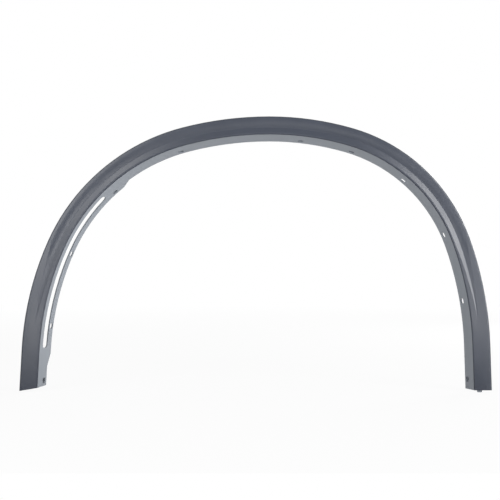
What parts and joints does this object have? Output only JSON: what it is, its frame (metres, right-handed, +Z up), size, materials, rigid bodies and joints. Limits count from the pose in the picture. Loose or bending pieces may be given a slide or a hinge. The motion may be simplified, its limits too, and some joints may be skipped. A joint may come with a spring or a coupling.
{
  "type": "wheel arch trim",
  "caption": "Moulded plastic wheel-arch trim for a rear fender: a creased face band with a raked return flange, fixing holes and a long slot.",
  "frame": {"origin": "middle of the flat seat on the back of the outer wall, at the crown of the arch", "axes": "+Z up, +X along the car to the right as seen from the face, +Y from the face towards the body"},
  "size_m": [0.8877, 0.0389, 0.5186],
  "materials": {
    "grained_plastic": "fine-grained dark grey moulded polypropylene"
  },
  "bodies": {
    "root": {"arch_trim": "grained_plastic"}
  },
  "joints": []
}
